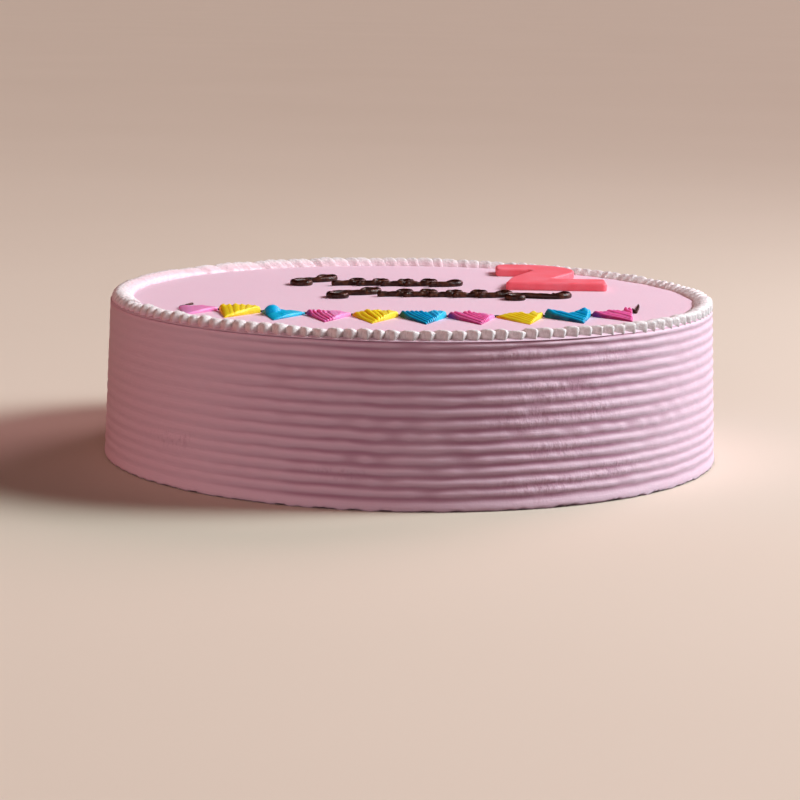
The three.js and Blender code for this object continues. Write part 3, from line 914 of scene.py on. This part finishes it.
def white_buttercream():
    """Off-white buttercream with a satin skin: greyer in fine streaks, greyer in the creases and on the
    lower outer side as painted shade, and pinker as painted bounce light where the cake's icing shines on
    it, at the left and the back."""
    f = Finish("white_buttercream", **soft((0.0006, 0.0004, 0.0004), 0.1), Specular_IOR_Level=0.45)
    relief = f.mark("relief")
    grain = f.noise(0.0011)
    slow = f.noise(0.013, detail=2.0)
    streak = f.noise(0.0012, place=f.stretch(1, 1, 0.5))
    # Painted shade in the creases and on the lower outer side.
    base = f.mix(f.band(relief, 0.0, 0.55), (0.38, 0.31, 0.29), (0.94, 0.87, 0.87))
    base = f.mix(f.band(slow, 0.4, 0.75) * 0.3, base, (0.95, 0.86, 0.86))
    base = f.mix(f.band(streak, 0.46, 0.64) * 0.45, base, (0.60, 0.52, 0.52))
    # Painted pink bounce light from the cake's icing.
    base = f.mix(f.band(f.mark("pinkish"), 0.25, 0.8) * 0.85, base, (0.88, 0.60, 0.67))
    return f.done(base, 0.36 + 0.2 * grain, grain, depth=0.0003)


def piping(name, crease, crest, painted_glow, corner, radius):
    """Brightly coloured piping, smooth and satin, with painted light: darker in the creases, at the edges
    and along the left side as painted shade, paler on its right part as a painted glow of light, and
    darker at the left corner as painted shade, partly the chocolate string showing through. Light enters
    it as far as radius, in metres for red, green, blue."""
    f = Finish(name, **soft(radius, 0.6), Specular_IOR_Level=0.25)
    lines = f.noise(0.0035)
    grain = f.noise(0.0008, detail=2.0)
    # Painted shade in the creases.
    base = f.mix(f.band(f.mark("relief"), 0.0, 0.9), crease, crest)
    # Painted glow of light on the pale part.
    base = f.mix(f.clamped(f.mark("pale") + 0.25 * f.band(lines, 0.45, 0.75)), base, painted_glow)
    # Painted shade at the left corner, partly the chocolate string showing through.
    base = f.mix(f.clamped(f.mark("corner") * (0.7 + 0.5 * lines)), base, corner)
    return f.done(base, 0.34 + 0.2 * lines, 0.6 * lines + 0.4 * grain, depth=0.00025)


def piped_chocolate():
    """Dark chocolate, glossy on the crests, with brown where it is scuffed or thin."""
    f = Finish("piped_chocolate", Specular_IOR_Level=0.22)
    lines = f.noise(0.0025, detail=4.0, distortion=0.6)
    grain = f.noise(0.0007, detail=2.0)
    base = f.mix(f.band(lines, 0.42, 0.72), (0.022, 0.005, 0.003), (0.09, 0.028, 0.011))
    return f.done(base, 0.2 + 0.25 * lines, 0.7 * lines + 0.3 * grain, depth=0.0004)


def rolled_fondant():
    """Coral fondant: matt and close, with a faint bloom of powder."""
    f = Finish("rolled_fondant", **soft((0.003, 0.001, 0.001), 0.3), Specular_IOR_Level=0.3)
    bloom = f.noise(0.009, detail=4.0)
    grain = f.noise(0.0006, detail=2.0)
    base = f.mix(f.band(bloom, 0.35, 0.75), (0.98, 0.14, 0.18), (0.99, 0.2, 0.25))
    return f.done(base, 0.42 + 0.2 * bloom, 0.5 * bloom + 0.5 * grain, depth=0.00012)


def pale_floor():
    """A plain pale floor, very slightly mottled."""
    f = Finish("pale_floor", Specular_IOR_Level=0.2)
    cloud = f.noise(0.5)
    base = f.mix(cloud, (0.70, 0.61, 0.50), (0.74, 0.65, 0.54))
    return f.done(base, 0.7 + 0.1 * cloud, cloud, depth=0.0001)


# --- Assembly ---

# Of each colour set: the crease colour is painted shade, the pale colour a painted glow of light, and the
# corner colour painted shade, partly the chocolate string showing through.
PIPINGS = {
    "rose": {
        "crease": (0.42, 0.03, 0.15), "crest": (0.94, 0.20, 0.47), "painted_glow": (0.90, 0.29, 0.57),
        "corner": (0.10, 0.02, 0.18), "radius": (0.004, 0.001, 0.002),
    },
    "yellow": {
        "crease": (0.88, 0.38, 0.01), "crest": (0.98, 0.70, 0.015), "painted_glow": (0.96, 0.70, 0.06),
        "corner": (0.8, 0.28, 0.02), "radius": (0.004, 0.0026, 0.0005),
    },
    "blue": {
        "crease": (0.0, 0.07, 0.16), "crest": (0.0, 0.44, 0.76), "painted_glow": (0.03, 0.51, 0.79),
        "corner": (0.0, 0.10, 0.07), "radius": (0.0006, 0.002, 0.003),
    },
}

pink = combed_buttercream()
white = white_buttercream()
chocolate = piped_chocolate()
coral = rolled_fondant()
pipings = [(f"icing_{name}", piping(f"{name}_piping", **colours)) for name, colours in PIPINGS.items()]

new_piece("cake_icing", iced_cake(), "cake", pink)
new_piece("border_piping", piped_border(), "border", white)

for n in range(GARLAND["pennants"]):
    slot, finish = pipings[n % len(pipings)]
    new_piece(f"pennant_{n + 1}_piping", piped_pennant(n), f"pennant_{n + 1}", finish)

line = piped_line(string_route(), STRING["width"], STRING["height"], seed=2)
new_piece("garland_string_piping", line, "garland_string", chocolate)

for row, scrolls in SCROLLS.items():
    for k, scroll in enumerate(scrolls, start=1):
        line = piped_line(scroll_route(*scroll), SCROLL["width"], SCROLL["height"], seed=50 + k)
        new_piece(f"{row}_{k}_piping", line, f"{row}_{k}", chocolate)

new_piece("numeral_fondant", fondant_numeral(), "numeral", coral)


# --- Floor, light and camera ---

FLOOR_AROUND = 96
FLOOR_RINGS = (0.3, 1.0, 4.0, 20.0, 150.0)  # in metres, as all lengths from here on
FAR_LIGHTS = [  # name, bearing, elevation, spread, strength, tint
    ("sky", 97, 35, 22, 2.1, (0.86, 1.0, 0.96)),
    ("back", 140, 30, 30, 1.0, (1.45, 0.85, 0.95)),
    ("front", -10, 15, 50, 0.93, (1.28, 0.95, 0.95)),
    ("left", -95, 20, 40, 0.34, (1.6, 0.5, 0.3)),
]
WORLD_COLOUR = (0.80, 0.72, 0.62, 1)
WORLD_STRENGTH = 0.8

CAMERA_DISTANCE = 1.0847  # in front of the cake's axis
CAMERA_HEIGHT = 0.2032
CAMERA_TILT = 9.495  # degrees below level
CAMERA_YAW = 0.231
CAMERA_ROLL = 0.841
LENS = 114.23  # both in millimetres
SENSOR = 36


def make_floor():
    """A large round floor under the cake: rings of points round its middle."""
    angle = np.arange(FLOOR_AROUND) * TAU / FLOOR_AROUND
    reach = np.array(FLOOR_RINGS)[:, None]
    points = np.concatenate([turned(reach, angle, 0).reshape(-1, 3), [(0, 0, 0)]])
    inner = fan(np.arange(FLOOR_AROUND), len(points) - 1, outwards=False)
    outer = grid_quads(len(FLOOR_RINGS), FLOOR_AROUND, wrap_columns=True)[:, ::-1]
    mesh = bpy.data.meshes.new("floor")
    mesh.from_pydata(points.tolist(), [], [*outer.tolist(), *inner.tolist()])
    mesh.materials.append(pale_floor())
    floor = bpy.data.objects.new("floor", mesh)
    bpy.context.scene.collection.objects.link(floor)
    floor.visible_diffuse = False  # it throws no light back up into the grooves


def place_light(light, bearing, elevation, distance, tint):
    """Puts a light in the scene, turned to the cake: bearing is in degrees to the right of the front."""
    light.color = tint
    lamp = bpy.data.objects.new(light.name, light)
    bpy.context.scene.collection.objects.link(lamp)
    b, e = math.radians(bearing), math.radians(elevation)
    towards = Vector((math.sin(b) * math.cos(e), -math.cos(b) * math.cos(e), math.sin(e)))
    lamp.location = towards * distance
    lamp.rotation_euler = (-towards).to_track_quat("-Z", "Y").to_euler()


def add_far_light(name, bearing, elevation, spread, strength, tint):
    """A far soft light, spread degrees across. Its strength is the power that reaches a square metre."""
    light = bpy.data.lights.new(name, "SUN")
    light.angle = math.radians(spread)
    light.energy = strength
    place_light(light, bearing, elevation, 1.0, tint)


def add_window(bearing, elevation, distance, size, strength, tint):
    """A round window, near enough that the side of the cake towards it is brighter. Its strength counts
    at the cake's middle."""
    light = bpy.data.lights.new("window", "AREA")
    light.shape = "DISK"
    light.size = size
    light.energy = strength * math.pi * distance**2
    place_light(light, bearing, elevation, distance, tint)


make_floor()
add_window(bearing=96, elevation=35, distance=1.5, size=0.58, strength=2.0, tint=(0.95, 1.0, 1.09))
for far_light in FAR_LIGHTS:
    add_far_light(*far_light)

world = bpy.data.worlds.new("studio")
bpy.context.scene.world = world
world.use_nodes = True
world.node_tree.nodes["Background"].inputs["Color"].default_value = WORLD_COLOUR
world.node_tree.nodes["Background"].inputs["Strength"].default_value = WORLD_STRENGTH
world.cycles_visibility.diffuse = False  # it lights nothing
world.cycles_visibility.glossy = False

camera_data = bpy.data.cameras.new("camera")
camera_data.sensor_width = SENSOR
camera_data.lens = LENS
camera = bpy.data.objects.new("camera", camera_data)
bpy.context.scene.collection.objects.link(camera)
turns = [(CAMERA_YAW, "Z"), (90 - CAMERA_TILT, "X"), (CAMERA_ROLL, "Z")]
aim = Matrix.Identity(4)
for degrees, axis in turns:
    aim = aim @ Matrix.Rotation(math.radians(degrees), 4, axis)
camera.matrix_world = Matrix.Translation((0, -CAMERA_DISTANCE, CAMERA_HEIGHT)) @ aim
bpy.context.scene.camera = camera
bpy.context.scene.view_settings.view_transform = "Standard"
